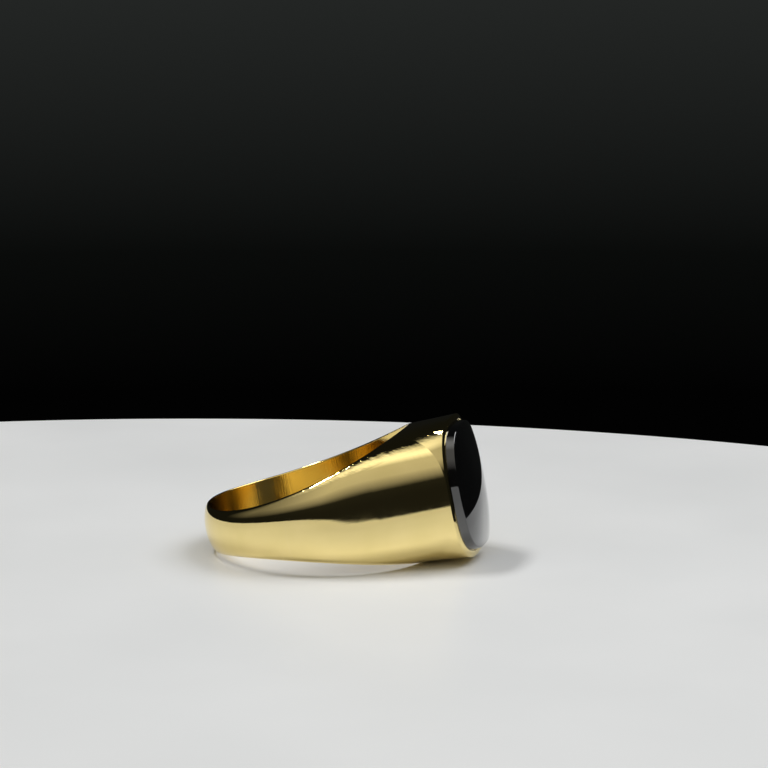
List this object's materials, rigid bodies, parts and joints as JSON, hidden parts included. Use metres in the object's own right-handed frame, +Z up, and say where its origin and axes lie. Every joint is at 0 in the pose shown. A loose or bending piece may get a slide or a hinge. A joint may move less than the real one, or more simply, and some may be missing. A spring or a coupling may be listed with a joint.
{
  "type": "signet ring",
  "caption": "Polished yellow gold signet ring with tapering shoulders and a black domed cushion onyx in a narrow burnished rim, lying on its side.",
  "frame": {"origin": "centre of the ring's bounding box in plan, on the surface the ring rests on", "axes": "+X from the back of the hoop towards the stone face, +Y across the finger, +Z up; the ring lies on its side, so the finger axis is near +Z"},
  "size_m": [0.0268, 0.0218, 0.0134],
  "materials": {
    "gold": "polished",
    "gold_rim": "polished",
    "inner_gold": "satin",
    "solder": "polished",
    "cement": "matte",
    "onyx": "polished"
  },
  "bodies": {
    "root": {"shank": "gold", "head": "gold", "solder_seam_left": "solder", "solder_seam_right": "solder", "bearing_strip": "inner_gold", "bezel_strip": "gold_rim", "setting_cement": "cement", "onyx_stone": "onyx"}
  },
  "joints": []
}
